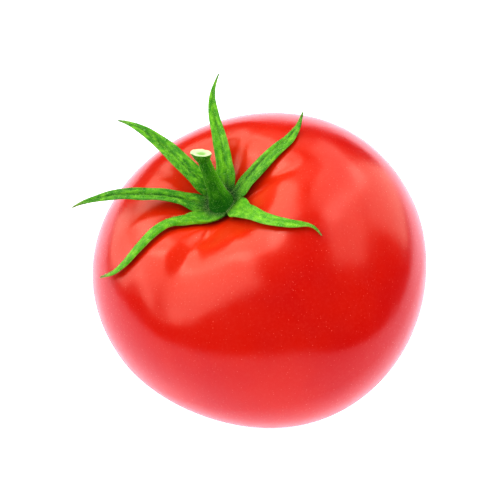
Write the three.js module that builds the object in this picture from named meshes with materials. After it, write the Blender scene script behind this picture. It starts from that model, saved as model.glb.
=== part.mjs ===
import * as THREE from 'three';

// A ripe tomato with its six green sepals and a short cut stem. It lies tipped over on
// the small flat that its own weight presses into the skin.
// Millimetres and degrees, +Z up. The origin is the middle of that flat, so the surface
// it rests on is z = 0. The fruit itself is worked out upright, about its own axis, and
// then tipped.

// The fruit, upright
const FRUIT_RADIUS = 39;
const FRUIT_HALF_HEIGHT = 32.8;
const FRUIT_FULLNESS = 2.2;       // 2 is an ellipse, more is squarer
const BOTTOM_TAPER = 0.19;        // share of the radius lost towards the bottom
const DIMPLE_DEPTH = 9.4;         // where the stem sits
const DIMPLE_RADIUS = 13;
const BLOSSOM_DEPTH = 1.4;        // the small dent at the bottom
const BLOSSOM_RADIUS = 6;

// Slow swellings round the fruit: how many, how strong, and the turn of one crest
const LOBES = [
  { count: 1, swell: 0.012, crest: 45 },
  { count: 2, swell: 0.036, crest: -40 },
  { count: 3, swell: 0.020, crest: 52 },
  { count: 4, swell: 0.006, crest: 24 },
];

// Folds that run out from the dimple: the turn and half width, the depth as a share of
// the distance from the fruit's middle, and where it has faded as a share of its radius
const CREASES = [
  { turn: 240, depth: 0.045, width: 10, fade: 0.85 },
  { turn: 198, depth: 0.022, width: 9, fade: 0.85 },
  { turn: 10, depth: 0.030, width: 10, fade: 0.75 },
  { turn: 72, depth: 0.020, width: 10, fade: 0.60 },
  { turn: 133, depth: 0.020, width: 10, fade: 0.70 },
  { turn: 306, depth: 0.030, width: 13, fade: 0.90 },
];
const CREASE_BEGINS = 0.1;        // shares of the fruit's radius
const CREASE_FULL = 0.3;
const CREASE_WANES = 0.4;
const CREASE_UPPER_SIDE = 0.3;    // cosine of the polar angle where the folds are whole

// How it lies
const LEAN = 21;                  // the stem end tips this far towards -X
const REST_SPOT_DEPTH = 1.4;      // skin pressed flat below where it would reach
const REST_SPOT_EDGE = 0.3;       // rounding where the flat meets the round skin

// Stem and the small disc that it grows from
const FIT_GAP = 0.3;              // between pieces that touch
const DISC_RADIUS = 4.3;
const DISC_THICKNESS = 1.2;
const STEM_HEIGHT = 12.2;         // from the disc to the cut
const STEM_SET_BACK = 1.0;        // foot off the fruit's axis, towards STEM_TURN
const STEM_LEAN_OUT = 3.6;        // cut end beyond the foot, towards STEM_TURN
const STEM_TURN = 88;
const STEM_BEND_HEIGHT = 3.0;     // the stem leaves the disc upright and bends about here
const STEM_BEND_OUT = 0.6;
const STEM_FOOT_RADIUS = 2.9;
const STEM_FOOT_FLARE = 2.2;      // more is a shorter flare
const STEM_WAIST_RADIUS = 1.7;
const STEM_LIP_RADIUS = 2.3;      // the flared, cut end
const STEM_LIP_LENGTH = 1.2;
const STEM_LIP_FLARE = 0.7;
const STEM_CUT_HOLLOW = 0.3;

// Sepals. Each follows stations from its foot to its tip: the reach from the fruit's
// axis, the turn about it, the lift above the skin, the half width, and the roll of the
// blade about its own length. The foot's reach, lift and half width come from the disc.
const SEPAL_THICKNESS = 0.8;
const SEPAL_FOOT_CLEARANCE = 0.2; // more room under the foot, where the dimple rises
const SEPALS = [
  {
    name: 'sepal_back',
    turns: [72, 76, 84, 85, 80],
    reaches: [9, 17, 23, 27],
    lifts: [2.8, 4.7, 9.1, 14.5],
    halfWidths: [2.3, 1.8, 1.1, 0.25],
    rolls: [0, 0, 0, 0, 0],
    fold: 0.35,
  },
  {
    name: 'sepal_back_right',
    turns: [26, 21, 28, 35.5, 39],
    reaches: [9, 18.5, 24, 27.5],
    lifts: [2.7, 2.1, 3.0, 5.2],
    halfWidths: [2.1, 1.9, 1.1, 0.25],
    rolls: [0, -8, -12, -8, 0],
    fold: 0.45,
  },
  {
    name: 'sepal_front_right',
    turns: [330, 316.5, 320, 325, 324],
    reaches: [14.8, 21.9, 26.3, 28.8],
    lifts: [1.5, 1.7, 2.2, 1.4],
    halfWidths: [2.4, 1.7, 0.6, 0.2],
    rolls: [0, 0, 0, 0, 0],
    fold: 0.15,
  },
  {
    name: 'sepal_front_left',
    turns: [232, 207, 209.5, 207, 199],
    reaches: [10.8, 19.6, 26.4, 31.6],
    lifts: [2.0, 2.1, 2.1, 3.0],
    halfWidths: [1.9, 1.6, 1.1, 0.25],
    rolls: [0, 0, 0, 0, 0],
    fold: 0.2,
  },
  {
    name: 'sepal_left',
    turns: [162, 166, 170, 172.5, 177.5],
    reaches: [9.6, 17, 26, 32],
    lifts: [1.8, 3.1, 7.8, 14.0],
    halfWidths: [2.4, 2.1, 1.5, 0.25],
    rolls: [0, 0, 0, 0, 0],
    fold: 0.35,
  },
  {
    name: 'sepal_back_left',
    turns: [116, 123.5, 125.5, 129, 132.5],
    reaches: [9, 17, 24, 31],
    lifts: [3.1, 4.8, 9.3, 15.0],
    halfWidths: [2.5, 2.5, 1.8, 0.25],
    rolls: [0, 0, 0, 0, 0],
    fold: 0.35,
  },
];

// How finely each surface is divided
const FRUIT_TURN_STEPS = 64;
const FRUIT_RINGS = 46;
const STEM_TURN_STEPS = 20;
const STEM_RINGS = 12;
const SEPAL_RINGS = 15;

const UP = new THREE.Vector3(0, 0, 1);

function radians(angle) {
  return THREE.MathUtils.degToRad(angle);
}

// The point at a reach from the fruit's axis, a turn about it, and a height
function around(reach, turn, height) {
  return new THREE.Vector3(reach * Math.cos(turn), reach * Math.sin(turn), height);
}

// ---------------------------------------------------------------- the skin's shape

// Share of the distance to the skin that the creases take away
function creaseCut(reach, turn, polar) {
  const out = reach / FRUIT_RADIUS;
  let cut = 0;
  for (const crease of CREASES) {
    const away = Math.sin((turn - radians(crease.turn)) / 2) * 2;
    const across = Math.exp(-((away / radians(crease.width)) ** 2));
    const begins = THREE.MathUtils.smoothstep(out, CREASE_BEGINS, CREASE_FULL);
    const ends = 1 - THREE.MathUtils.smoothstep(out, CREASE_WANES, crease.fade);
    cut += crease.depth * across * begins * ends;
  }
  return cut * THREE.MathUtils.smoothstep(Math.cos(polar), 0, CREASE_UPPER_SIDE);
}

// Reach and height of the skin, polar measured down from the stem end, both in radians
function skin(polar, turn) {
  const out = Math.sin(polar);
  const up = Math.cos(polar);
  const squared = (out / FRUIT_RADIUS) ** FRUIT_FULLNESS
    + (Math.abs(up) / FRUIT_HALF_HEIGHT) ** FRUIT_FULLNESS;
  const distance = squared ** (-1 / FRUIT_FULLNESS);
  const below = Math.max(-distance * up / FRUIT_HALF_HEIGHT, 0);
  let swell = 0;
  for (const lobe of LOBES) {
    swell += lobe.swell * Math.cos(lobe.count * (turn - radians(lobe.crest)));
  }
  const reach = distance * out * (1 - BOTTOM_TAPER * below ** 1.5) * (1 + swell * out);
  let height = distance * up;
  if (up > 0) {
    height -= DIMPLE_DEPTH * Math.exp(-((reach / DIMPLE_RADIUS) ** 2));
  } else {
    height += BLOSSOM_DEPTH * Math.exp(-((reach / BLOSSOM_RADIUS) ** 2));
  }
  const kept = 1 - creaseCut(reach, turn, polar);
  return { reach: reach * kept, height: height * kept };
}

// Height of the upper skin at a reach, found by halving the polar angle. Beyond the
// widest place it is the height there.
function skinHeight(reach, turn) {
  let low = 0;
  let high = Math.PI / 2;
  for (let step = 0; step < 40; step += 1) {
    const middle = (low + high) / 2;
    if (skin(middle, turn).reach < reach) {
      low = middle;
    } else {
      high = middle;
    }
  }
  return skin(high, turn).height;
}

// --------------------------------------------------------------- how the fruit lies

const tip = new THREE.Matrix4().makeRotationY(radians(-LEAN));

function tippedSkin(polar, turn) {
  const { reach, height } = skin(polar, turn);
  return around(reach, turn, height).applyMatrix4(tip);
}

// The lowest place of the tipped fruit, which the rest spot is pressed into
function lowestPlace() {
  const steps = 240;
  let lowest = tippedSkin(Math.PI, 0);
  for (let i = 0; i <= steps; i += 1) {
    for (let j = 0; j < steps; j += 1) {
      const place = tippedSkin(Math.PI * i / steps, 2 * Math.PI * j / steps);
      if (place.z < lowest.z) lowest = place;
    }
  }
  return lowest;
}

const settle = lowestPlace().add(new THREE.Vector3(0, 0, REST_SPOT_DEPTH)).negate();

// Skin below the surface is pressed up to it, with a rounded edge
function pressed(height) {
  if (height <= -REST_SPOT_EDGE) return 0;
  if (height >= REST_SPOT_EDGE) return height;
  return (height + REST_SPOT_EDGE) ** 2 / (4 * REST_SPOT_EDGE);
}

// ------------------------------------------------------------------ closed surfaces

// A closed body from rings of points and a point at each end. Every ring runs
// anticlockwise as seen from the first end.
function closedGeometry(firstEnd, rings, lastEnd) {
  const count = rings[0].length;
  const points = [firstEnd, ...rings.flat(), lastEnd];
  const last = points.length - 1;
  const at = (ring, i) => 1 + ring * count + (i % count);
  const faces = [];
  for (let i = 0; i < count; i += 1) {
    faces.push(0, at(0, i), at(0, i + 1));
    for (let ring = 0; ring < rings.length - 1; ring += 1) {
      faces.push(at(ring, i), at(ring + 1, i), at(ring + 1, i + 1));
      faces.push(at(ring, i), at(ring + 1, i + 1), at(ring, i + 1));
    }
    faces.push(last, at(rings.length - 1, i + 1), at(rings.length - 1, i));
  }
  const geometry = new THREE.BufferGeometry().setFromPoints(points);
  geometry.setIndex(faces);
  geometry.computeVertexNormals();
  return geometry;
}

// A circle of points about a centre, square to an axis
function circle(centre, axis, radius, steps) {
  const side = new THREE.Vector3(1, 0, 0).projectOnPlane(axis).normalize();
  const front = new THREE.Vector3().crossVectors(axis, side);
  return Array.from({ length: steps }, (_, i) => {
    const angle = 2 * Math.PI * i / steps;
    return centre.clone()
      .addScaledVector(side, radius * Math.cos(angle))
      .addScaledVector(front, radius * Math.sin(angle));
  });
}

// The smooth value at t, from 0 to 1, of evenly spaced values
function along(values, t) {
  const last = values.length - 1;
  const i = Math.min(Math.floor(t * last), last - 1);
  const f = t * last - i;
  const before = values[Math.max(i - 1, 0)];
  const start = values[i];
  const end = values[i + 1];
  const after = values[Math.min(i + 2, last)];
  const bend = 2 * before - 5 * start + 4 * end - after;
  const twist = 3 * (start - end) + after - before;
  return start + 0.5 * f * (end - before + f * (bend + f * twist));
}

// ---------------------------------------------------------------------- the pieces

function fruitGeometry() {
  const place = (polar, turn) => {
    const point = tippedSkin(polar, turn).add(settle);
    point.z = pressed(point.z);
    return point;
  };
  const rings = [];
  for (let ring = 1; ring < FRUIT_RINGS; ring += 1) {
    rings.push(Array.from({ length: FRUIT_TURN_STEPS }, (_, i) => (
      place(Math.PI * ring / FRUIT_RINGS, 2 * Math.PI * i / FRUIT_TURN_STEPS)
    )));
  }
  return closedGeometry(place(0, 0), rings, place(Math.PI, 0));
}

function stemRadius(t) {
  const foot = (STEM_FOOT_RADIUS - STEM_WAIST_RADIUS) * (1 - t) ** STEM_FOOT_FLARE;
  const intoLip = Math.max(1 - (1 - t) * STEM_HEIGHT / STEM_LIP_LENGTH, 0);
  const lip = (STEM_LIP_RADIUS - STEM_WAIST_RADIUS) * intoLip ** STEM_LIP_FLARE;
  return STEM_WAIST_RADIUS + foot + lip;
}

// The stem stands on the disc, whose underside follows the dimple
function stemGeometry() {
  const turn = radians(STEM_TURN);
  const edge = skinHeight(DISC_RADIUS, turn) + FIT_GAP;
  const top = edge + DISC_THICKNESS;
  const centreLine = new THREE.QuadraticBezierCurve3(
    around(STEM_SET_BACK, turn, top),
    around(STEM_SET_BACK + STEM_BEND_OUT, turn, top + STEM_BEND_HEIGHT),
    around(STEM_SET_BACK + STEM_LEAN_OUT, turn, top + STEM_HEIGHT),
  );
  const level = (radius, height) => (
    circle(new THREE.Vector3(0, 0, height), UP, radius, STEM_TURN_STEPS)
  );
  const lipStart = 1 - STEM_LIP_LENGTH / STEM_HEIGHT;
  const places = [1, (1 + lipStart) / 2];
  for (let ring = 0; ring < STEM_RINGS; ring += 1) {
    places.push(lipStart * (1 - ring / (STEM_RINGS - 1)));
  }
  const rings = places.map((t) => (
    circle(centreLine.getPoint(t), centreLine.getTangent(t), stemRadius(t), STEM_TURN_STEPS)
  ));
  const innerRadius = DISC_RADIUS / 2;
  rings.push(level(DISC_RADIUS, top - DISC_THICKNESS / 4));
  rings.push(level(DISC_RADIUS, edge));
  rings.push(level(innerRadius, skinHeight(innerRadius, turn) + FIT_GAP));
  const cut = centreLine.getPoint(1).addScaledVector(centreLine.getTangent(1), -STEM_CUT_HOLLOW);
  return closedGeometry(cut, rings, new THREE.Vector3(0, 0, skinHeight(0, turn) + FIT_GAP));
}

// The half width that leaves a gap to the nearest neighbour's foot
function footHalfWidth(sepal, reach) {
  const others = SEPALS.filter((other) => other !== sepal);
  const gaps = others.map((other) => {
    const apart = radians(other.turns[0] - sepal.turns[0]);
    return Math.acos(Math.cos(apart));
  });
  return reach * Math.sin(Math.min(...gaps) / 2) - FIT_GAP / 2;
}

// A blade with a shallow fold along its middle, thin at both edges
function sepalGeometry(sepal) {
  const footReach = DISC_RADIUS + FIT_GAP;
  const reaches = [footReach, ...sepal.reaches];
  const footLift = FIT_GAP + SEPAL_FOOT_CLEARANCE + SEPAL_THICKNESS / 2;
  const lifts = [footLift, ...sepal.lifts];
  const halfWidths = [footHalfWidth(sepal, footReach), ...sepal.halfWidths];
  const centre = (t) => {
    const reach = along(reaches, t);
    const turn = radians(along(sepal.turns, t));
    return around(reach, turn, skinHeight(reach, turn) + along(lifts, t));
  };
  // The blade's own direction, which at the foot is square to the disc
  const direction = (t) => {
    if (t === 0) return around(1, radians(sepal.turns[0]), 0);
    return centre(Math.min(t + 0.01, 1)).sub(centre(t - 0.01)).normalize();
  };
  const section = [1, 0.5, 0, -0.5, -1, -0.5, 0, 0.5];
  const bladeRing = (t) => {
    const middle = centre(t);
    const ahead = direction(t);
    const side = new THREE.Vector3().crossVectors(UP, ahead).normalize();
    side.applyAxisAngle(ahead, radians(along(sepal.rolls, t)));
    const over = new THREE.Vector3().crossVectors(ahead, side);
    const halfWidth = along(halfWidths, t);
    return section.map((across, i) => {
      const face = i < 4 ? 1 : -1;
      const thick = face * SEPAL_THICKNESS / 2 * (1 - across ** 2);
      const lift = halfWidth * sepal.fold * Math.abs(across) + thick;
      return middle.clone().addScaledVector(side, across * halfWidth).addScaledVector(over, lift);
    });
  };
  const rings = [];
  for (let ring = SEPAL_RINGS - 1; ring >= 0; ring -= 1) {
    rings.push(bladeRing(ring / SEPAL_RINGS));
  }
  return closedGeometry(centre(1), rings, centre(0));
}

// -------------------------------------------------------------------- the materials

function skinMaterial() {
  return new THREE.MeshStandardMaterial({ color: 0xd8180c, roughness: 0.3, metalness: 0 });
}

function greenMaterial(color) {
  return new THREE.MeshStandardMaterial({ color, roughness: 0.7, metalness: 0 });
}

// --------------------------------------------------------------------- the assembly

function piece(name, geometry, material) {
  const mesh = new THREE.Mesh(geometry, material);
  mesh.name = name;
  return mesh;
}

// Everything that grows at the stem end tips with the fruit
const calyx = new THREE.Group();
calyx.rotation.y = radians(-LEAN);
calyx.position.copy(settle);
calyx.add(piece('stem', stemGeometry(), greenMaterial(0x3f8f1c)));
for (const sepal of SEPALS) {
  calyx.add(piece(sepal.name, sepalGeometry(sepal), greenMaterial(0x55b526)));
}

const tomato = new THREE.Group();
tomato.add(piece('fruit', fruitGeometry(), skinMaterial()));
tomato.add(calyx);

export default tomato;
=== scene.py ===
"""Looks of the tomato: a fine skin, six fleshy sepals, the cut stem and their down.

Shapes are worked out in millimetres about the fruit's own upright axis, tipped over as the
CAD model is, and turned into metres when a mesh is made. In the tables a turn is counted
round that axis and a polar angle down from the stem end, both in degrees.
"""

import math

import bpy
import numpy as np
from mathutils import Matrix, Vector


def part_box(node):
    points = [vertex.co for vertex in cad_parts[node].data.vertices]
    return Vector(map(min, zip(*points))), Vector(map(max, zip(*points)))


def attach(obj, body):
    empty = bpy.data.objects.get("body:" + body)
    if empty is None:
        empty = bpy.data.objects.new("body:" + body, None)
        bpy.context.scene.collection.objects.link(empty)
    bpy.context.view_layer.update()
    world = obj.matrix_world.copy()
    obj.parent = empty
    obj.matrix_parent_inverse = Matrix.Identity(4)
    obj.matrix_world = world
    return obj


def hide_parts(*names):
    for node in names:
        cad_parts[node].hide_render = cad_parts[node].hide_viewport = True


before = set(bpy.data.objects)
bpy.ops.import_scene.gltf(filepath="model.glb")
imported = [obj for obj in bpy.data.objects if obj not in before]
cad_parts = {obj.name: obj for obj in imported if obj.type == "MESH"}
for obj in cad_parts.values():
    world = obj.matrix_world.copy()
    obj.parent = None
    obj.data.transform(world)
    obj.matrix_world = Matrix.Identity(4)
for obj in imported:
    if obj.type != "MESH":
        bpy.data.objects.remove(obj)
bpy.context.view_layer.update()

MM = 0.001

# ------------------------------------------------------------- sizes shared with the CAD

FRUIT_RADIUS = 39.0
FRUIT_HALF_HEIGHT = 32.8
FRUIT_FULLNESS = 2.2              # 2 is an ellipse, more is boxier
BOTTOM_TAPER = 0.19
DIMPLE_DEPTH = 9.4
DIMPLE_RADIUS = 13.0
BLOSSOM_DEPTH = 1.4               # the small dent at the bottom
BLOSSOM_RADIUS = 6.0

# (how many swellings round the fruit, how strong, the turn of one crest)
LOBES = ((1, 0.012, 45), (2, 0.036, -40), (3, 0.020, 52), (4, 0.006, 24))

CREASE_BEGINS = 0.1               # shares of the fruit's radius
CREASE_FULL = 0.3
CREASE_WANES = 0.4
CREASE_UPPER_SIDE = 0.3           # cosine of the polar angle where the creases are whole

LEAN = 21.0                       # the stem end tips this far towards -X
REST_SPOT_DEPTH = 1.4             # skin pressed flat below where it would reach
REST_SPOT_EDGE = 0.3              # rounding where the flat meets the round skin

FIT_GAP = 0.3                     # under the disc
DISC_RADIUS = 4.3
DISC_THICKNESS = 1.2
STEM_HEIGHT = 12.2                # from the disc to the cut
STEM_SET_BACK = 1.0               # foot off the fruit's axis, towards STEM_TURN
STEM_LEAN_OUT = 3.6               # cut end beyond the foot, towards STEM_TURN
STEM_TURN = 88.0
STEM_BEND_HEIGHT = 3.0
STEM_BEND_OUT = 0.6
STEM_FOOT_RADIUS = 2.9
STEM_FOOT_FLARE = 2.2             # more is a shorter flare
STEM_LIP_LENGTH = 1.2
STEM_LIP_FLARE = 0.7

# ------------------------------------------------------------------ sizes of the looks

SKIN_TURNS = 384
SKIN_RINGS = 236
SKIN_UNEVENNESS = 0.10
PLEAT_HEIGHT = 0.008              # fine pleats round the stem
PLEATS = 23                       # how many round it, broad and fine
FINE_PLEATS = 37
PLEATS_BEGIN = (3, 8)             # reaches between which they rise
PLEATS_END = (9, 17)              # and fade
# The warmer orange round the stem end is partly the fruit's own shoulder colour and partly painted light on
# its strongly lit upper side
SHOULDER_RADIUS = 24.0            # warmer colour round the stem
SCAR_EDGE = (1.0, 1.9)            # reaches between which the blossom scar ends
SCAR_POINTS = 5
SCAR_POINT_LENGTH = 0.3
NUB_HEIGHT = 0.45                 # in the middle of the blossom scar
NUB_RADIUS = 1.1
STEM_END_ABOVE = 1.4              # polar angles in radians that part the two ends
BLOSSOM_END_BELOW = 2.5

# (turn, depth as a share of the distance from the fruit's middle, half width towards lower
# turns and towards higher ones, share of the radius at which it has faded). The first is
# deeper and broader than in the CAD, and the others are the same.
CREASES = (
    (244, 0.078, 12, 30, 0.92),
    (198, 0.022, 9, 9, 0.85),
    (10, 0.030, 10, 10, 0.75),
    (72, 0.020, 10, 10, 0.60),
    (133, 0.020, 10, 10, 0.70),
    (306, 0.030, 13, 13, 0.90),
)

# (turn, polar angle, half width, height) of gentle swellings that the CAD leaves out
SWELLINGS = (
    (320, 48, 20, 0.9),
    (305, 72, 20, 1.5),
)

STEM_WAIST_RADIUS = 1.4           # a little slimmer than in the CAD, as is the lip
STEM_LIP_RADIUS = 2.15
STEM_CORNERS = 72
STEM_RINGS = 60                   # from the foot to the lip
STEM_LIP_RINGS = 16
STEM_RIDGES = 7
STEM_RIDGE_HEIGHT = 0.05
STEM_LIP_RAGGEDNESS = 0.10
CUT_SLANT = 0.16                  # how steeply the cut rises towards the near side
CUT_SIDE_SLANT = 0.42             # and towards the left
CUT_ROUGHNESS = 0.05
CUT_COLOUR_BEGINS = 0.994         # share of the stem's length
PITH_EDGE = (0.30, 0.55)          # shares of the cut's radius between which the pith ends
# The stem's foot is darker: partly its own deeper green and partly painted shade of the hollow between the
# sepals
STEM_FOOT_SHADE = (0.6, 4.5)      # heights between which the dark of the foot fades

# The cut end from its lip to its middle: (share of the radius, how far it sinks)
CUT_PROFILE = (
    (0.97, -0.06), (0.90, -0.10), (0.80, -0.06), (0.68, 0.03), (0.55, 0.16),
    (0.42, 0.26), (0.30, 0.30), (0.18, 0.28), (0.08, 0.27),
)

# Below its foot the stem spreads out under the sepals: (reach, height over the skin)
SKIRT_PROFILE = ((2.9, 1.2), (3.2, 0.85), (3.1, 0.6), (2.6, 0.45))
SKIRT_MIDDLE_LIFT = 0.4

SEPAL_STEPS = 150                 # along a sepal
SEPAL_ACROSS = 28                 # across one face of it
SEPAL_THICKNESS = 0.62
SEPAL_THICKNESS_SHARES = (1.3, 1.25, 1.1, 1.0, 0.8, 0.35)
SEPAL_EDGE_THINNING = 0.75
SEPAL_ROOT_REACH = 2.7            # where the sepals part from the stem's foot
SEPAL_ROOT_LIFT = 1.5
SEPAL_COLLAR_REACH = 4.6
SEPAL_COLLAR_LIFT = 1.2
SEPAL_EDGE_UNEVENNESS = 0.05      # shares of the half width
SEPAL_WAVE = 0.10
SEPAL_EDGE_RIPPLES = 9            # how fast the unevenness and the wave run along a sepal
SEPAL_WAVE_RIPPLES = 12
SEPAL_FOLD_ROUNDING = 0.03
SEPAL_VEIN_DEPTH = 0.075
SEPAL_VEIN_FULL_WIDTH = 1.5       # half width of a sepal from which its veins are whole
SEPAL_VEIN_RISES = (0.0, 0.2)     # shares along a sepal between which the veins rise
# Where along a sepal the middle vein darkens, and how wide: the dark is partly the vein's own green and
# partly painted shade in the fold's groove
SEPAL_VEIN_AND_SHADE_DARKENS = (0.05, 0.3)
SEPAL_VEIN_AND_SHADE_WIDTH = 0.15    # share across
SEPAL_RIM = (0.86, 1.0)           # shares across between which the rim turns dry
SEPAL_RIM_BEGINS = (0.2, 0.4)     # shares along
SEPAL_TIP = (0.86, 0.98)
# Round the stem's foot the sepals are darker: partly their own deeper green and partly painted shade of the
# hollow the foot sits in
SEPAL_FOOT_SHADE = (2.6, 6.4)     # distances from the stem between which the dark fades
WEB_ENDS = (-1.2, 2.8)            # reaches past the notch between which a sepal comes free

# Each sepal starts in a shared root and collar. collar is its half width there, and webs
# are the turns and reaches of the notches on either side, where it joins its neighbours.
# Then come four stations to the tip: reaches from the fruit's axis, lifts over the skin
# and half widths. Turns, rolls and folds have one more value in front, for the collar.
# Rolls are degrees. Folds and the curl raise the edges by shares of the half width, and
# groove is where the middle vein runs, from -1 to 1 across. The vein strength sets how deep
# that groove is and how dark it is coloured, partly the vein's own darker green and partly
# painted shade in the fold. tone and dry_tip are strengths of colour. The stations are those
# of the CAD or lie up to 2 mm beside them.
SEPALS = (
    dict(
        name="sepal_back", collar=2.2, webs=((50, 6.6), (95, 6.2)),
        turns=(72, 76, 84, 85, 80), reaches=(9, 17, 23, 27), lifts=(2.8, 4.7, 9.1, 14.5),
        widths=(1.95, 1.4, 0.78, 0.14), rolls=(0, 0, 0, 0, 0),
        folds=(0.2, 0.45, 0.45, 0.5, 0.3), curl=-0.10,
        groove=-0.1, vein_and_shade=0.4, tone=0.25, dry_tip=0.2,
    ),
    dict(
        name="sepal_back_right", collar=2.1, webs=((3, 5.6), (50, 6.6)),
        turns=(28, 25, 30.3, 37.8, 40), reaches=(9, 18.5, 24, 27.5), lifts=(1.3, 0.75, 1.0, 4.8),
        widths=(2.1, 1.6, 0.8, 0.18), rolls=(0, 4, 8, 6, 0),
        folds=(0.2, 0.25, 0.25, 0.3, 0.3), curl=-0.12,
        groove=0.35, vein_and_shade=1.0, tone=0.4, dry_tip=0.1,
    ),
    dict(
        name="sepal_front_right", collar=2.3, webs=((296, 3.8), (3, 5.6)),
        turns=(321, 315.5, 320, 325, 324), reaches=(14.8, 21.9, 26.3, 28.8), lifts=(1.1, 0.7, 0.7, 0.4),
        widths=(1.6, 1.15, 0.4, 0.14), rolls=(0, 0, 0, 0, 0),
        folds=(0.1, 0.12, 0.2, 0.5, 0.3), curl=-0.05,
        groove=0.05, vein_and_shade=0.15, tone=0.0, dry_tip=0.9,
    ),
    dict(
        name="sepal_front_left", collar=1.8, webs=((188, 6.2), (296, 3.4)),
        turns=(211, 202.8, 208.2, 206, 198.5), reaches=(10.8, 19.6, 26.4, 31.6), lifts=(1.7, 1.2, 1.2, 2.5),
        widths=(1.4, 1.25, 0.9, 0.16), rolls=(0, 0, 0, 0, 0),
        folds=(0.1, 0.2, 0.3, 0.4, 0.3), curl=-0.45,
        groove=0.3, vein_and_shade=0.2, tone=0.1, dry_tip=0.8,
    ),
    dict(
        name="sepal_left", collar=1.7, webs=((137, 6.0), (188, 6.2)),
        turns=(162, 166, 170, 172.5, 177.5), reaches=(9.6, 17, 26, 32), lifts=(1.8, 3.1, 7.8, 14.0),
        widths=(1.75, 1.8, 1.15, 0.16), rolls=(0, 0, 0, 0, 0),
        folds=(0.15, 0.45, 0.5, 0.35, 0.3), curl=-0.12,
        groove=-0.05, vein_and_shade=0.9, tone=0.6, dry_tip=0.6,
    ),
    dict(
        name="sepal_back_left", collar=2.2, webs=((95, 6.2), (137, 6.0)),
        turns=(116, 124.2, 126.3, 129, 132.5), reaches=(9, 17, 24, 31), lifts=(3.1, 4.8, 9.3, 15.0),
        widths=(2.05, 1.8, 1.05, 0.14), rolls=(0, 0, 0, 0, 0),
        folds=(0.15, 0.4, 0.4, 0.35, 0.3), curl=-0.08,
        groove=0.1, vein_and_shade=0.5, tone=0.5, dry_tip=0.2,
    ),
)

SEPAL_HAIRS = 1400                # on each sepal
SEPAL_HAIR_LENGTHS = (0.15, 0.42)
SEPAL_HAIR_RADIUS = 0.017
SEPAL_HAIR_DISORDER = 0.5
STEM_HAIRS = 2200
STEM_HAIR_LENGTHS = (0.12, 0.34)
STEM_HAIR_RADIUS = 0.015
STEM_HAIR_DISORDER = 0.45

SKIN_SEED = 11
STEM_RIDGE_SEED = 31
STEM_LIP_SEED = 32
CUT_SEED = 33
SEPAL_SEED = 40
SEPAL_SEED_STEP = 3
HAIR_SEED = 5

# ------------------------------------------------ light, floor and camera, in metres

FLOOR_HALF_WIDTH = 0.15           # a strip, so that the glow on the fruit's rim stays narrow
FLOOR_HALF_DEPTH = 3.0
FLOOR_GLOW = 0.60
FLOOR_GLOW_COLOUR = (0.97, 0.94, 1.0, 1)
WORLD_GLOW = 0.92
WORLD_COLOUR = (0.9, 0.92, 1, 1)
PANEL_DISTANCE = 0.9
PANEL_AIM = (0, 0, 0.04)
PANEL_COLOUR = (1.0, 0.94, 0.80)

# (name, azimuth, elevation, width, height, power): the ones that shine in the gloss
GLOSS_PANELS = (
    ("left_panel", -44, 40, 0.58, 0.78, 3.7),
    ("far_left_panel", -87, 39, 0.84, 0.84, 5.2),
    ("low_left_panel", -64, 2, 0.62, 0.44, 2.0),
    ("corner_left_panel", -97, 9, 0.50, 0.20, 0.75),
    ("middle_panel", -8, 32, 0.52, 0.40, 0.46),
    ("right_panel", 28, 37, 0.50, 0.72, 2.0),
    ("far_right_panel", 65, 46, 0.64, 0.60, 2.05),
    ("low_right_panel", 48, 6, 0.50, 0.66, 1.75),
)

# The ones that light everything but the gloss
FILL_PANELS = (
    ("left_fill", -60, 40, 1.4, 1.2, 3.0),
    ("right_fill", 45, 45, 1.4, 1.2, 2.5),
)

CAMERA_ELEVATION = 48.74
CAMERA_DISTANCE = 0.428
CAMERA_AIM_PAST_FRUIT = (-0.0018, 0.0006, 0.0072)
CAMERA_LENS = 135                 # millimetres, as is the sensor
CAMERA_SENSOR = 36


# ------------------------------------------------------------------------- small maths

RIPPLE_WAVES = 6
RIPPLE_SCALE = 3.5
HALVINGS = 40


def smoothstep(low, high, x):
    t = np.clip((x - low) / (high - low), 0, 1)
    return t * t * (3 - 2 * t)


def along(values, t):
    """The smooth value at t, from 0 to 1, of evenly spaced values."""
    values = np.asarray(values, float)
    last = len(values) - 1
    t = np.asarray(t, float)
    i = np.minimum(np.floor(t * last).astype(int), last - 1)
    f = t * last - i
    before = values[np.maximum(i - 1, 0)]
    start = values[i]
    end = values[i + 1]
    after = values[np.minimum(i + 2, last)]
    bend = 2 * before - 5 * start + 4 * end - after
    twist = 3 * (start - end) + after - before
    return start + 0.5 * f * (end - before + f * (bend + f * twist))


def unit(v):
    return v / np.linalg.norm(v, axis=-1, keepdims=True)


def around(reach, turn, height):
    """Points at a reach from the fruit's axis, a turn about it in radians, and a height."""
    reach, turn, height = np.broadcast_arrays(reach, turn, height)
    return np.stack([reach * np.cos(turn), reach * np.sin(turn), height], -1)


def ripple(seed, *phases):
    """Smooth seeded waviness from about -1 to 1 over any number of angles."""
    rng = np.random.default_rng(seed)
    total = 0
    for _ in range(RIPPLE_WAVES):
        wave = rng.uniform(0, 2 * math.pi)
        for phase in phases:
            wave = wave + phase * rng.integers(1, 5) * rng.choice((-1, 1))
        total = total + np.sin(wave)
    return total / RIPPLE_SCALE


# -------------------------------------------------------------------- the fruit's shape

def crease_cut(reach, turn, polar):
    """The share of the distance from the fruit's middle that the creases take away."""
    out = reach / FRUIT_RADIUS
    cut = 0
    for crease_turn, depth, lower, higher, fade in CREASES:
        away = 2 * np.sin((turn - math.radians(crease_turn)) / 2)
        away = away * np.sign(np.cos((turn - math.radians(crease_turn)) / 2))
        width = np.where(away > 0, math.radians(higher), math.radians(lower))
        across = np.exp(-((away / width) ** 2))
        begins = smoothstep(CREASE_BEGINS, CREASE_FULL, out)
        ends = 1 - smoothstep(CREASE_WANES, fade, out)
        cut = cut + depth * across * begins * ends
    return cut * smoothstep(0, CREASE_UPPER_SIDE, np.cos(polar))


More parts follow.
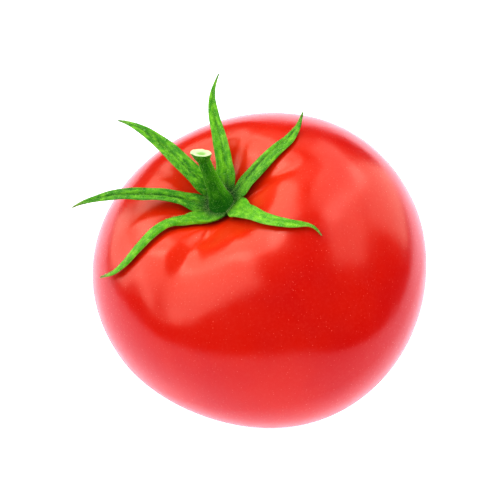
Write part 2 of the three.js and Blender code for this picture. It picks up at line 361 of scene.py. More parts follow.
def skin(polar, turn):
    """Reach and height of the skin, polar measured down from the stem end."""
    out = np.sin(polar)
    up = np.cos(polar)
    squared = (np.abs(out) / FRUIT_RADIUS) ** FRUIT_FULLNESS
    squared = squared + (np.abs(up) / FRUIT_HALF_HEIGHT) ** FRUIT_FULLNESS
    distance = squared ** (-1 / FRUIT_FULLNESS)
    below = np.maximum(-distance * up / FRUIT_HALF_HEIGHT, 0)
    swell = 0
    for count, strength, crest in LOBES:
        swell = swell + strength * np.cos(count * (turn - math.radians(crest)))
    reach = distance * out * (1 - BOTTOM_TAPER * below ** 1.5) * (1 + swell * out)
    dimple = DIMPLE_DEPTH * np.exp(-((reach / DIMPLE_RADIUS) ** 2))
    dent = BLOSSOM_DEPTH * np.exp(-((reach / BLOSSOM_RADIUS) ** 2))
    height = distance * up + np.where(up > 0, -dimple, dent)
    kept = 1 - crease_cut(reach, turn, polar)
    rise = swellings(polar, turn)
    return reach * kept + rise * out, height * kept + rise * up


def swellings(polar, turn):
    """How far the gentle swellings raise the skin."""
    rise = 0
    for swelling_turn, swelling_polar, width, height in SWELLINGS:
        p = math.radians(swelling_polar)
        t = turn - math.radians(swelling_turn)
        cosine = np.cos(polar) * math.cos(p) + np.sin(polar) * math.sin(p) * np.cos(t)
        rise = rise + height * np.exp(-2 * (1 - cosine) / math.radians(width) ** 2)
    return rise


def skin_height(reach, turn):
    """Height of the upper skin at a reach, by halving the polar angle."""
    reach, turn = np.broadcast_arrays(np.asarray(reach, float), np.asarray(turn, float))
    low = np.zeros(reach.shape)
    high = np.full(reach.shape, math.pi / 2)
    for _ in range(HALVINGS):
        middle = (low + high) / 2
        inside = skin(middle, turn)[0] < reach
        low = np.where(inside, middle, low)
        high = np.where(inside, high, middle)
    return skin(high, turn)[1]


def tipped(points):
    """Leans points about the Y axis, towards -X."""
    c = math.cos(math.radians(LEAN))
    s = math.sin(math.radians(LEAN))
    x, y, z = points[..., 0], points[..., 1], points[..., 2]
    return np.stack([x * c - z * s, y, x * s + z * c], -1)


def lowest_place():
    """The lowest point of the leaning fruit, on a coarse grid."""
    steps = 240
    polar = np.linspace(0, math.pi, steps + 1)[:, None]
    turn = (np.arange(steps) * 2 * math.pi / steps)[None, :]
    reach, height = skin(polar, turn)
    places = tipped(around(reach, turn, height)).reshape(-1, 3)
    return places[places[:, 2].argmin()]


settle = -(lowest_place() + np.array([0, 0, REST_SPOT_DEPTH]))


def in_place(points):
    """From the upright fruit's frame to the object's frame."""
    return tipped(points) + settle


def pressed(height):
    """Heights with all below the floor pressed flat, with a small rounding."""
    rounded = (height + REST_SPOT_EDGE) ** 2 / (4 * REST_SPOT_EDGE)
    inner = np.where(height <= -REST_SPOT_EDGE, 0, rounded)
    return np.where(height >= REST_SPOT_EDGE, height, inner)


# ------------------------------------------------------------------------ mesh building

def make_piece(name, points, faces, material, nodes=(), attributes=None):
    """A mesh object in metres that rides on the body and stands for CAD nodes."""
    mesh = bpy.data.meshes.new(name)
    mesh.from_pydata((np.asarray(points) * MM).tolist(), [], faces)
    mesh.validate()
    mesh.shade_smooth()
    for key, values in (attributes or {}).items():
        layer = mesh.attributes.new(key, "FLOAT", "POINT")
        layer.data.foreach_set("value", np.asarray(values, np.float32))
    mesh.materials.append(material)
    piece = bpy.data.objects.new(name, mesh)
    bpy.context.scene.collection.objects.link(piece)
    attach(piece, "root")
    if nodes:
        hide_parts(*nodes)


def closed_faces(rings, count):
    """Faces over an end point, rings of points and a last end point."""
    last = 1 + rings * count
    faces = []
    for i in range(count):
        j = (i + 1) % count
        faces.append((0, 1 + i, 1 + j))
        faces.append((last, last - count + j, last - count + i))
    for ring in range(rings - 1):
        upper = 1 + ring * count
        lower = upper + count
        for i in range(count):
            j = (i + 1) % count
            faces.append((upper + i, lower + i, lower + j, upper + j))
    return faces


def closed_points(first, rings, last):
    return np.concatenate([first[None], rings.reshape(-1, 3), last[None]])


# ------------------------------------------------------------------------ node materials

class Nodes:
    """Short calls for building one material's node tree."""

    def __init__(self, name):
        self.material = bpy.data.materials.new(name)
        self.material.use_nodes = True
        self.tree = self.material.node_tree
        self.shader = self.tree.nodes["Principled BSDF"]
        self.place = self.new("ShaderNodeTexCoord").outputs["Object"]

    def new(self, kind, **settings):
        node = self.tree.nodes.new(kind)
        for key, value in settings.items():
            setattr(node, key, value)
        return node

    def feed(self, socket, value):
        if isinstance(value, bpy.types.NodeSocket):
            self.tree.links.new(value, socket)
        else:
            socket.default_value = value

    def math(self, operation, a, b=0.0, c=0.0):
        node = self.new("ShaderNodeMath", operation=operation)
        for socket, value in zip(node.inputs, (a, b, c)):
            self.feed(socket, value)
        return node.outputs[0]

    def remap(self, value, low, high, out_low=0.0, out_high=1.0):
        """A smooth step of value between low and high."""
        node = self.new("ShaderNodeMapRange", interpolation_type="SMOOTHSTEP")
        for socket, entry in zip(node.inputs, (value, low, high, out_low, out_high)):
            self.feed(socket, entry)
        return node.outputs[0]

    def mix(self, factor, a, b):
        node = self.new("ShaderNodeMix", data_type="RGBA")
        self.feed(node.inputs["Factor"], factor)
        self.feed(node.inputs["A"], a)
        self.feed(node.inputs["B"], b)
        return node.outputs["Result"]

    def noise(self, scale, detail=3.0, roughness=0.5, vector=None, distortion=0.0):
        node = self.new("ShaderNodeTexNoise")
        self.feed(node.inputs["Vector"], vector or self.place)
        node.inputs["Scale"].default_value = scale
        node.inputs["Detail"].default_value = detail
        node.inputs["Roughness"].default_value = roughness
        node.inputs["Distortion"].default_value = distortion
        return node.outputs["Fac"]

    def voronoi(self, scale):
        node = self.new("ShaderNodeTexVoronoi")
        self.feed(node.inputs["Vector"], self.place)
        node.inputs["Scale"].default_value = scale
        return node

    def attribute(self, name):
        return self.new("ShaderNodeAttribute", attribute_name=name).outputs["Fac"]

    def combine(self, x, y, z):
        node = self.new("ShaderNodeCombineXYZ")
        for socket, value in zip(node.inputs, (x, y, z)):
            self.feed(socket, value)
        return node.outputs[0]

    def bump(self, height, distance, strength=1.0, normal=None):
        node = self.new("ShaderNodeBump")
        node.inputs["Strength"].default_value = strength
        node.inputs["Distance"].default_value = distance
        self.feed(node.inputs["Height"], height)
        if normal is not None:
            self.feed(node.inputs["Normal"], normal)
        return node.outputs["Normal"]

    def set(self, **sockets):
        """Sets or links the shader's sockets, with _ in their names for a space."""
        for key, value in sockets.items():
            self.feed(self.shader.inputs[key.replace("_", " ")], value)


# (cells to a metre, radius as a share of a cell, strength) of the pale specks
SKIN_SPECKS = ((1000, 0.13, 0.36), (1700, 0.19, 0.28))


def skin_material():
    n = Nodes("tomato_skin")
    deep = (0.53, 0.0035, 0.0006, 1)
    warm = (0.74, 0.040, 0.0010, 1)
    pale = (1.0, 0.36, 0.26, 1)
    cork = (0.36, 0.20, 0.08, 1)
    patches = n.remap(n.noise(scale=38, detail=3), 0.35, 0.68)
    # Warmer round the stem end: partly the fruit's own shoulder colour, partly painted light on the lit
    # upper side
    warmth = n.math("MAXIMUM", n.math("MULTIPLY", patches, 0.25), n.attribute("shoulder"))
    colour = n.mix(warmth, deep, warm)
    specks = 0.0
    for scale, size, strength in SKIN_SPECKS:
        cells = n.voronoi(scale)
        spot = n.remap(cells.outputs["Distance"], size * 0.4, size, 1.0, 0.0)
        chance = n.new("ShaderNodeSeparateColor")
        n.feed(chance.inputs[0], cells.outputs["Color"])
        kept = n.remap(chance.outputs[0], 0.35, 0.9)
        spot = n.math("MULTIPLY", spot, n.math("MULTIPLY", kept, strength))
        specks = n.math("MAXIMUM", spot, specks)
    haze = n.remap(n.noise(scale=1500, detail=3), 0.42, 0.72, 0.0, 0.018)
    colour = n.mix(haze, colour, pale)
    colour = n.mix(specks, colour, pale)
    colour = n.mix(n.attribute("scar"), colour, cork)
    n.set(Base_Color=colour)
    gloss = n.remap(n.noise(scale=220, detail=4), 0.3, 0.7, 0.20, 0.25)
    n.set(Roughness=n.math("ADD", gloss, n.math("MULTIPLY", n.attribute("scar"), 0.35)))
    grain = n.bump(n.noise(scale=2600, detail=2), distance=0.00002, strength=0.5)
    waviness = n.noise(scale=420, detail=2)
    n.set(Normal=n.bump(waviness, distance=0.00006, strength=0.4, normal=grain))
    n.set(IOR=1.45)
    n.set(Sheen_Weight=0.12, Sheen_Roughness=0.3)
    n.set(Subsurface_Weight=0.10, Subsurface_Scale=0.004)
    n.shader.inputs["Subsurface Radius"].default_value = (1.0, 0.25, 0.12)
    n.shader.inputs["Sheen Tint"].default_value = (0.9, 0.8, 1.0, 1)
    return n.material


def leaf_material(name):
    n = Nodes(name)
    bright = (0.25, 0.60, 0.022, 1)
    middle = (0.075, 0.36, 0.006, 1)
    deep = (0.010, 0.16, 0.004, 1)
    dark = (0.003, 0.07, 0.001, 1)
    dry = (0.26, 0.27, 0.08, 1)
    pale = (0.50, 0.72, 0.28, 1)
    lengthwise = n.attribute("along_mm")
    sideways = n.attribute("across_mm")
    seed = n.attribute("seed")
    streak_place = n.combine(n.math("MULTIPLY", lengthwise, 0.09), sideways, seed)
    streaks = n.noise(3.2, detail=4, roughness=0.6, vector=streak_place, distortion=0.4)
    blotch_place = n.combine(n.math("MULTIPLY", lengthwise, 0.5), sideways, seed)
    blotches = n.noise(1.0, detail=4, roughness=0.65, vector=blotch_place)
    colour = n.mix(n.remap(blotches, 0.34, 0.68), middle, bright)
    tone = n.attribute("tone")
    shade = n.remap(blotches, 0.35, 0.65, 1.0, 0.35)
    colour = n.mix(n.math("MULTIPLY", tone, shade), colour, deep)
    streaky = n.math("MULTIPLY_ADD", tone, 1.1, 0.25)
    streaky = n.math("MULTIPLY", streaky, n.remap(streaks, 0.52, 0.74, 0.0, 0.75))
    colour = n.mix(streaky, colour, dark)
    # The middle vein: partly its own darker green and partly painted shade in the fold's groove
    vein_and_shade = n.math("MULTIPLY", n.attribute("vein_and_shade"), n.remap(blotches, 0.3, 0.6, 0.95, 0.45))
    colour = n.mix(vein_and_shade, colour, dark)
    # Darker round the stem's foot: partly deeper green, partly painted shade of the hollow there
    colour = n.mix(n.attribute("foot"), colour, dark)
    rim = n.math("MULTIPLY", n.attribute("rim"), n.remap(blotches, 0.4, 0.65, 0.0, 0.6))
    colour = n.mix(rim, colour, dry)
    colour = n.mix(n.attribute("tip"), colour, dry)
    down = n.remap(n.noise(scale=2300, detail=2), 0.62, 0.74, 0.0, 0.45)
    colour = n.mix(down, colour, pale)
    n.set(Base_Color=colour)
    n.set(Roughness=n.remap(n.noise(scale=1500, detail=2), 0.3, 0.7, 0.48, 0.68))
    fibres = n.bump(streaks, distance=0.0001, strength=0.6)
    fuzz = n.noise(scale=3000, detail=3)
    n.set(Normal=n.bump(fuzz, distance=0.00006, strength=0.6, normal=fibres))
    n.set(Sheen_Weight=0.08, Sheen_Roughness=0.4, IOR=1.36, Specular_IOR_Level=0.4)
    n.set(Subsurface_Weight=0.08, Subsurface_Scale=0.0012)
    n.shader.inputs["Subsurface Radius"].default_value = (0.6, 1.0, 0.2)
    n.shader.inputs["Sheen Tint"].default_value = (0.9, 1.0, 0.8, 1)
    return n.material


def stem_material():
    n = Nodes("stem_green")
    side = (0.13, 0.44, 0.012, 1)
    dark = (0.002, 0.12, 0.001, 1)
    cream = (0.60, 0.76, 0.42, 1)
    pith = (0.30, 0.54, 0.15, 1)
    speck = (0.30, 0.62, 0.10, 1)
    height = n.attribute("height_mm")
    turn = n.attribute("turn")
    stripe_place = n.combine(n.math("MULTIPLY", height, 0.12), turn, 0.0)
    stripes = n.noise(3.0, detail=3, roughness=0.55, vector=stripe_place)
    # Painted light and shade: the stem is coloured darker on its side towards -Y, which faces the camera,
    # and lighter at its left and right sides, as if lit from behind
    front = n.remap(turn, -1.9, 0.2, 0.85, 0.1)
    shade = n.math("MULTIPLY", front, n.remap(stripes, 0.35, 0.6, 0.6, 1.0))
    colour = n.mix(shade, side, dark)
    # Darker low on the stem: partly deeper green, partly painted shade where it sits in the calyx
    colour = n.mix(n.math("MULTIPLY", n.attribute("foot"), 0.7), colour, dark)
    specks = n.remap(n.noise(scale=2300, detail=2), 0.62, 0.74, 0.0, 0.35)
    colour = n.mix(specks, colour, speck)
    cut = n.mix(n.attribute("pith"), cream, pith)
    cut = n.mix(n.remap(n.noise(scale=1800, detail=3), 0.5, 0.75, 0.0, 0.35), cut, pith)
    colour = n.mix(n.attribute("cut"), colour, cut)
    n.set(Base_Color=colour)
    n.set(Roughness=n.remap(n.noise(scale=1500, detail=2), 0.3, 0.7, 0.5, 0.7))
    n.set(Normal=n.bump(n.noise(scale=2600, detail=3), distance=0.00007, strength=0.6))
    n.set(Sheen_Weight=0.06, Sheen_Roughness=0.35, IOR=1.33, Specular_IOR_Level=0.3)
    n.shader.inputs["Sheen Tint"].default_value = (0.95, 1.0, 0.85, 1)
    return n.material


def down_material():
    n = Nodes("plant_down")
    green = (0.26, 0.56, 0.10, 1)
    pale = (0.62, 0.82, 0.34, 1)
    tint = n.remap(n.noise(scale=700, detail=2), 0.35, 0.65)
    n.set(Base_Color=n.mix(tint, green, pale))
    n.set(Roughness=n.remap(n.noise(scale=900, detail=1), 0.3, 0.7, 0.45, 0.65))
    n.set(Sheen_Weight=0.1)
    return n.material


# ---------------------------------------------------------------------------- the fruit

def build_fruit():
    polar = np.linspace(0, math.pi, SKIN_RINGS + 1)[:, None]
    turn = (np.arange(SKIN_TURNS) * 2 * math.pi / SKIN_TURNS)[None, :]
    reach, height = skin(polar, turn)
    swell = SKIN_UNEVENNESS * ripple(SKIN_SEED, turn, polar) * np.sin(polar)
    pleats = np.sin(turn * PLEATS + 1.5 * np.sin(turn * 3)) + 0.6 * np.sin(turn * FINE_PLEATS + 1)
    near_stem = smoothstep(*PLEATS_BEGIN, reach) * (1 - smoothstep(*PLEATS_END, reach))
    swell = swell + PLEAT_HEIGHT * pleats * near_stem * (polar < STEM_END_ABOVE)
    nub = NUB_HEIGHT * np.exp(-((reach / NUB_RADIUS) ** 4)) * (polar > BLOSSOM_END_BELOW)
    reach = reach + swell * np.sin(polar)
    height = height + swell * np.cos(polar) - nub
    points = in_place(around(reach, turn, height))
    points[..., 2] = pressed(points[..., 2])
    # Partly the fruit's own shoulder colour and partly painted light on its strongly lit upper side
    shoulder = np.exp(-((reach / SHOULDER_RADIUS) ** 3)) * (polar < STEM_END_ABOVE)
    star = reach + SCAR_POINT_LENGTH * np.sin(turn * SCAR_POINTS)
    scar = (1 - smoothstep(*SCAR_EDGE, star)) * (polar > BLOSSOM_END_BELOW)
    masks = {}
    for key, values in (("shoulder", shoulder), ("scar", scar)):
        inner = np.broadcast_to(values, reach.shape)
        masks[key] = np.concatenate([inner[0, :1], inner[1:-1].ravel(), inner[-1, :1]])
    points = closed_points(points[0, 0], points[1:-1], points[-1, 0])
    faces = closed_faces(SKIN_RINGS - 1, SKIN_TURNS)
    make_piece("tomato_skin", points, faces, skin_material(), ("fruit",), masks)


# --------------------------------------------------------------------------- the sepals

def sepal_surfaces(spec, seed):
    """Upper and lower points of a sepal on a grid along and across it, and its masks."""
    t = np.linspace(0, 1, SEPAL_STEPS)
    u = np.sin(np.linspace(-1, 1, SEPAL_ACROSS) * math.pi / 2)
    root = SEPAL_ROOT_REACH
    reaches = (root, SEPAL_COLLAR_REACH) + spec["reaches"]
    turns = (spec["turns"][0],) + spec["turns"]
    lifts = (SEPAL_ROOT_LIFT, SEPAL_COLLAR_LIFT) + spec["lifts"]
    collar_width = spec["collar"]
    widths = (collar_width, collar_width) + spec["widths"]
    rolls = (spec["rolls"][0],) + spec["rolls"]
    folds = (spec["folds"][0],) + spec["folds"]

    reach = along(reaches, t)
    turn = np.radians(along(turns, t))
    lift = along(lifts, t)
    middle = around(reach, turn, skin_height(reach, turn) + lift)
    length = np.concatenate([[0], np.cumsum(np.linalg.norm(np.diff(middle, axis=0), axis=1))])
    ahead = unit(np.gradient(middle, t, axis=0))
    side = unit(np.cross(np.array([0, 0, 1.0]), ahead))
    over = np.cross(ahead, side)
    roll = np.radians(along(rolls, t))[:, None]
    level_side = side
    side = side * np.cos(roll) + over * np.sin(roll)
    over = over * np.cos(roll) - level_side * np.sin(roll)

    width = along(widths, t)
    which_side = np.sign(u)[None, :]
    uneven = ripple(seed, SEPAL_EDGE_RIPPLES * t[:, None], which_side)
    waving = ripple(seed + 1, SEPAL_WAVE_RIPPLES * t[:, None], which_side)
    edge = width[:, None] * (1 + SEPAL_EDGE_UNEVENNESS * uneven)
    across = edge * u[None, :]
    raised = np.sqrt(u ** 2 + SEPAL_FOLD_ROUNDING) - math.sqrt(SEPAL_FOLD_ROUNDING)
    fold = along(folds, t)[:, None] * edge * raised[None, :]
    curl = spec["curl"] * edge * np.abs(u)[None, :] ** 3
    wave = SEPAL_WAVE * edge * waving * (u ** 2)[None, :]
    blade = middle[:, None] + side[:, None] * across[..., None]
    blade = blade + over[:, None] * (fold + curl + wave)[..., None]

    # Near the stem the sepal fans out to the notches that it shares with its neighbours
    (low_turn, low_reach), (high_turn, high_reach) = spec["webs"]
    start = spec["turns"][0]
    to_low = math.radians((start - low_turn) % 360)
    to_high = math.radians((high_turn - start) % 360)
    fan_turn = turn[:, None] + np.where(u > 0, u * to_high, u * to_low)[None, :]
    fan_reach = np.broadcast_to(reach[:, None], fan_turn.shape)
    fan = around(fan_reach, fan_turn, skin_height(fan_reach, fan_turn) + lift[:, None])
    web = np.where(u > 0, high_reach, low_reach)[None, :]
    web = web * (u ** 2)[None, :] + 0.5 * (low_reach + high_reach) * (1 - u ** 2)[None, :]
    free = smoothstep(web + WEB_ENDS[0], web + WEB_ENDS[1], reach[:, None])[..., None]
    mid = fan * (1 - free) + blade * free

    thick = SEPAL_THICKNESS * along(SEPAL_THICKNESS_SHARES, t)[:, None]
    thick = thick * (1 - SEPAL_EDGE_THINNING * np.abs(u)[None, :] ** 2.5)
    veins = np.zeros_like(thick)
    groove = spec["groove"]
    # (place across, height, half width) of the middle groove and the ridges beside it
    lines = (
        (groove, -2.0 * spec["vein_and_shade"], 0.13),
        (groove - 0.4, 0.5, 0.1),
        (groove + 0.4, 0.5, 0.1),
        (-0.8, 0.3, 0.08),
        (0.8, 0.3, 0.08),
    )
    for centre, strength, spread in lines:
        veins = veins + strength * np.exp(-(((u[None, :] - centre) / spread) ** 2))
    deep = SEPAL_VEIN_DEPTH * np.minimum(width / SEPAL_VEIN_FULL_WIDTH, 1)
    deep = deep * smoothstep(*SEPAL_VEIN_RISES, t)
    veins = veins * deep[:, None]

    along_step = np.gradient(mid, axis=0)
    across_step = np.gradient(mid, axis=1)
    normal = unit(np.cross(along_step, across_step))
    upper = mid + normal * (thick / 2 + veins)[..., None]
    lower = mid - normal * (thick / 2)[..., None]
    away = np.hypot(mid[..., 0], mid[..., 1] - STEM_SET_BACK)
    # Dark colour of the middle vein, partly its own and partly painted shade in the groove
    vein_and_shade = spec["vein_and_shade"] * np.exp(-(((u - groove) / SEPAL_VEIN_AND_SHADE_WIDTH) ** 2))
    rim = smoothstep(*SEPAL_RIM, np.abs(u))
    tip = spec["dry_tip"] * smoothstep(*SEPAL_TIP, t)
    masks = {
        "along_mm": np.broadcast_to(length[:, None], away.shape),
        "across_mm": across,
        "tone": np.full(away.shape, spec["tone"]),
        "vein_and_shade": vein_and_shade[None, :] * smoothstep(*SEPAL_VEIN_AND_SHADE_DARKENS, t)[:, None],
        # Partly deeper green and partly painted shade in the hollow round the stem's foot
        "foot": 1 - smoothstep(*SEPAL_FOOT_SHADE, away),
        "rim": rim[None, :] * smoothstep(*SEPAL_RIM_BEGINS, t)[:, None],
        "tip": np.broadcast_to(tip[:, None], away.shape),
        "seed": np.full(away.shape, float(seed)),
    }
    return upper, lower, normal, masks


def build_sepal(spec, seed, material):
    """Makes one sepal and gives back the points of its upper face and their normals."""
    upper, lower, normal, masks = sepal_surfaces(spec, seed)
    rings = np.concatenate([upper[:, ::-1], lower[:, 1:-1]], axis=1)[::-1]
    first = upper[-1].mean(0) * 0.5 + lower[-1].mean(0) * 0.5
    last = upper[0].mean(0) * 0.5 + lower[0].mean(0) * 0.5
    points = in_place(closed_points(first, rings, last))
    spread = {}
    for key, values in masks.items():
        ring_values = np.concatenate([values[:, ::-1], values[:, 1:-1]], axis=1)[::-1]
        middle_column = values.shape[1] // 2
        ends = values[-1, middle_column], values[0, middle_column]
        spread[key] = np.concatenate([[ends[0]], ring_values.ravel(), [ends[1]]])
    faces = closed_faces(len(rings), rings.shape[1])
    make_piece(spec["name"] + "_leaf", points, faces, material, (spec["name"],), spread)
    return upper, normal


# ----------------------------------------------------------------------------- the stem

def stem_line(t):
    """Points of the stem's middle, from its foot at 0 to the cut at 1."""
    turn = math.radians(STEM_TURN)
    top = skin_height(DISC_RADIUS, turn) + FIT_GAP + DISC_THICKNESS
    a = around(STEM_SET_BACK, turn, top)
    b = around(STEM_SET_BACK + STEM_BEND_OUT, turn, top + STEM_BEND_HEIGHT)
    c = around(STEM_SET_BACK + STEM_LEAN_OUT, turn, top + STEM_HEIGHT)
    t = np.asarray(t)[:, None]
    return a * (1 - t) ** 2 + 2 * b * t * (1 - t) + c * t ** 2


def build_stem(material):
    """Makes the stem with its skirt and gives back the points of its sides and their spokes."""
    count = STEM_CORNERS
    turn = np.arange(count) * 2 * math.pi / count
    lip_start = 1 - STEM_LIP_LENGTH / STEM_HEIGHT
    below_lip = np.linspace(0, lip_start, STEM_RINGS, endpoint=False)
    t = np.concatenate([below_lip, np.linspace(lip_start, 1, STEM_LIP_RINGS)])
    line = stem_line(t)
    ahead = unit(np.gradient(line, t, axis=0))
    side = unit(np.array([1.0, 0, 0]) - ahead * ahead[:, :1])
    front = np.cross(ahead, side)
    foot = (STEM_FOOT_RADIUS - STEM_WAIST_RADIUS) * (1 - t) ** STEM_FOOT_FLARE
    into_lip = np.maximum(1 - (1 - t) * STEM_HEIGHT / STEM_LIP_LENGTH, 0)
    radius = STEM_WAIST_RADIUS + foot
    radius = radius + (STEM_LIP_RADIUS - STEM_WAIST_RADIUS) * into_lip ** STEM_LIP_FLARE
    ridges = STEM_RIDGE_HEIGHT * np.cos(turn * STEM_RIDGES + 0.6)[None, :]
    ridges = ridges + STEM_RIDGE_HEIGHT * ripple(STEM_RIDGE_SEED, turn[None, :], 2 * t[:, None])
    ragged = STEM_LIP_RAGGEDNESS * ripple(STEM_LIP_SEED, 3 * turn[None, :]) * into_lip[:, None]
    radius = radius[:, None] + ridges + ragged
    spokes = side[:, None] * np.cos(turn)[None, :, None] + front[:, None] * np.sin(turn)[None, :, None]
    sides = line[:, None] + spokes * radius[..., None]

    # The cut end: a rounded lip, a pale ring and a slightly sunken middle
    shares, sink = np.array(CUT_PROFILE).T
    rough = CUT_ROUGHNESS * ripple(CUT_SEED, 3 * turn[None, :], 9 * shares[:, None])
    end = line[-1] + spokes[-1][None] * (radius[-1][None] * shares[:, None])[..., None]
    end = end - ahead[-1] * (sink[:, None] + rough)[..., None]

    # The cut is not square to the stem: its near and left sides stand higher
    slant = CUT_SLANT * (line[-1, 1] - end[..., 1])
    slant = slant + CUT_SIDE_SLANT * (line[-1, 0] - end[..., 0])
    end = end + ahead[-1] * slant[..., None]
    slant = CUT_SLANT * (line[:, None, 1] - sides[..., 1]) * into_lip[:, None]
    slant = slant + CUT_SIDE_SLANT * (line[:, None, 0] - sides[..., 0]) * into_lip[:, None]
    sides = sides + ahead[-1] * slant[..., None]

    # Below the foot it spreads out under the sepals
    skirt_radius, skirt_lift = np.array(SKIRT_PROFILE).T
    wide = around(skirt_radius[:, None], turn[None, :], 0.0)
    wide[..., 2] = skin_height(skirt_radius[:, None], turn[None, :]) + skirt_lift[:, None]

    rings = np.concatenate([end[::-1], sides[::-1], wide])
    first = line[-1] - ahead[-1] * sink[-1]
    last = np.array([0, 0, skin_height(0.0, 0.0) + SKIRT_MIDDLE_LIFT])
    points = in_place(closed_points(first, rings, last))
    over_cut = np.ones(len(shares))
    in_skirt = np.zeros(len(skirt_radius))
    height = np.concatenate([over_cut * STEM_HEIGHT, t[::-1] * STEM_HEIGHT, in_skirt])
    cut = np.concatenate([over_cut, smoothstep(CUT_COLOUR_BEGINS, 1.0, t[::-1]), in_skirt])
    in_pith = 1 - smoothstep(*PITH_EDGE, shares[::-1])
    pith = np.concatenate([in_pith, np.zeros(len(t)), in_skirt])
    # Painted shade, with some real deeper green, low on the stem where the calyx closes round it
    low = 1 - smoothstep(*STEM_FOOT_SHADE, height)
    masks = {}
    for key, values in (("height_mm", height), ("cut", cut), ("pith", pith), ("foot", low)):
        masks[key] = np.concatenate([[values[0]], np.repeat(values, count), [values[-1]]])
    # Twice the sine of the turn, low on the stem's side towards -Y, where its material paints shade
    masks["turn"] = np.concatenate([[0], np.tile(np.sin(turn) * 2, len(rings)), [0]])
    faces = closed_faces(len(rings), count)
    make_piece("stem_and_disc", points, faces, material, ("stem",), masks)
    return sides, spokes


# ----------------------------------------------------------------------------- the down

def build_down(name, bases, directions, lengths, thickness, material):
    """Closed three-sided hairs, joined in one piece."""
    directions = unit(directions)
    helper = np.where(np.abs(directions[:, 2:]) < 0.8, [[0, 0, 1.0]], [[1.0, 0, 0]])
    side = unit(np.cross(directions, helper))
    front = np.cross(directions, side)
    corners = []
    for i in range(3):
        angle = 2 * math.pi * i / 3
        corners.append(bases + thickness * (side * math.cos(angle) + front * math.sin(angle)))
    tips = bases + directions * lengths[:, None]
    points = in_place(np.stack(corners + [tips], 1).reshape(-1, 3))
    faces = []
    for k in range(0, 4 * len(bases), 4):
        faces += [(k, k + 2, k + 1), (k, k + 1, k + 3), (k + 1, k + 2, k + 3), (k + 2, k, k + 3)]
    make_piece(name, points, faces, material)


def scatter(grid, directions, count, rng):
    """Random places on a grid of points, with their directions."""
    i = rng.integers(0, grid.shape[0] - 1, count)
    j = rng.integers(0, grid.shape[1] - 1, count)
    f = rng.random((count, 1))
    g = rng.random((count, 1))
    near = grid[i, j] * (1 - f) + grid[i + 1, j] * f
    far = grid[i, j + 1] * (1 - f) + grid[i + 1, j + 1] * f
    return near * (1 - g) + far * g, directions[i, j]


# ---------------------------------------------------------------------- light and camera

def add_light(name, azimuth, elevation, width, height, power, gloss):
    """A soft panel that faces the object, azimuth 0 behind it and 90 to its right.

    It is seen either in the gloss of things or in the rest of their look.
    """
    a = math.radians(azimuth)
    e = math.radians(elevation)
    away = np.array([math.sin(a) * math.cos(e), math.cos(a) * math.cos(e), math.sin(e)])
    light = bpy.data.lights.new(name, "AREA")
    light.shape = "RECTANGLE"
    light.size = width
    light.size_y = height
    light.energy = power
    light.color = PANEL_COLOUR
    lamp = bpy.data.objects.new(name, light)
    bpy.context.scene.collection.objects.link(lamp)
    place_facing(lamp, np.array(PANEL_AIM) + away * PANEL_DISTANCE, away)
    lamp.visible_camera = False
    lamp.visible_glossy = gloss
    lamp.visible_diffuse = not gloss


def place_facing(obj, location, back):
    """Puts an object so that it looks along minus back, with its X axis level."""
    back = unit(np.asarray(back, float))
    right = unit(np.cross([0, 0, 1.0], back))
    up = np.cross(back, right)
    matrix = np.eye(4)
    matrix[:3, 0] = right
    matrix[:3, 1] = up
    matrix[:3, 2] = back
    matrix[:3, 3] = location
    obj.matrix_world = matrix.T.tolist()


def build_stage():
    wide, deep = FLOOR_HALF_WIDTH, FLOOR_HALF_DEPTH
    mesh = bpy.data.meshes.new("floor")
    corners = [(-wide, -deep, 0), (wide, -deep, 0), (wide, deep, 0), (-wide, deep, 0)]
    mesh.from_pydata(corners, [], [(0, 1, 2, 3)])
    n = Nodes("floor_paper")
    dim = (0.61, 0.58, 0.70, 1)
    clear = (0.63, 0.60, 0.72, 1)
    tone = n.remap(n.noise(scale=3, detail=2), 0.3, 0.7)
    n.set(Base_Color=n.mix(tone, dim, clear), Roughness=0.8)
    n.set(Emission_Strength=FLOOR_GLOW, Emission_Color=FLOOR_GLOW_COLOUR)
    mesh.materials.append(n.material)
    floor = bpy.data.objects.new("floor", mesh)
    bpy.context.scene.collection.objects.link(floor)


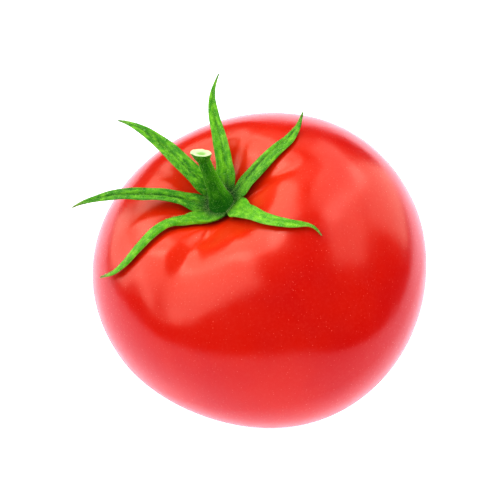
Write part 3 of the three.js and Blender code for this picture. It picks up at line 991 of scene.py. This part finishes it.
def build_light():
    world = bpy.data.worlds.new("studio")
    bpy.context.scene.world = world
    world.use_nodes = True
    background = world.node_tree.nodes["Background"]
    background.inputs["Color"].default_value = WORLD_COLOUR
    background.inputs["Strength"].default_value = WORLD_GLOW
    for panel in GLOSS_PANELS:
        add_light(*panel, gloss=True)
    for panel in FILL_PANELS:
        add_light(*panel, gloss=False)
    world.cycles_visibility.glossy = False
    bpy.context.scene.view_settings.view_transform = "Standard"
    bpy.context.scene.view_settings.look = "High Contrast"


def build_camera():
    low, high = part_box("fruit")
    target = (np.array(low) + np.array(high)) / 2 + np.array(CAMERA_AIM_PAST_FRUIT)
    elevation = math.radians(CAMERA_ELEVATION)
    back = np.array([0, -math.cos(elevation), math.sin(elevation)])
    data = bpy.data.cameras.new("camera")
    data.lens = CAMERA_LENS
    data.sensor_width = CAMERA_SENSOR
    camera = bpy.data.objects.new("camera", data)
    bpy.context.scene.collection.objects.link(camera)
    place_facing(camera, target + back * CAMERA_DISTANCE, back)
    bpy.context.scene.camera = camera


# --------------------------------------------------------------------------- all of it

build_stage()
build_light()
build_camera()
build_fruit()

leaf = leaf_material("sepal_green")
down = down_material()
rng = np.random.default_rng(HAIR_SEED)
hair_bases, hair_ways, hair_lengths = [], [], []
for number, spec in enumerate(SEPALS):
    upper, normal = build_sepal(spec, SEPAL_SEED + SEPAL_SEED_STEP * number, leaf)
    base, way = scatter(upper, normal, SEPAL_HAIRS, rng)
    hair_bases.append(base)
    hair_ways.append(way + SEPAL_HAIR_DISORDER * rng.normal(size=way.shape))
    hair_lengths.append(rng.uniform(*SEPAL_HAIR_LENGTHS, len(base)))
build_down("sepal_down", np.concatenate(hair_bases), np.concatenate(hair_ways),
           np.concatenate(hair_lengths), SEPAL_HAIR_RADIUS, down)

sides, spokes = build_stem(stem_material())
base, way = scatter(sides, spokes, STEM_HAIRS, rng)
way = way + STEM_HAIR_DISORDER * rng.normal(size=way.shape)
build_down("stem_down", base, way, rng.uniform(*STEM_HAIR_LENGTHS, len(base)),
           STEM_HAIR_RADIUS, down)
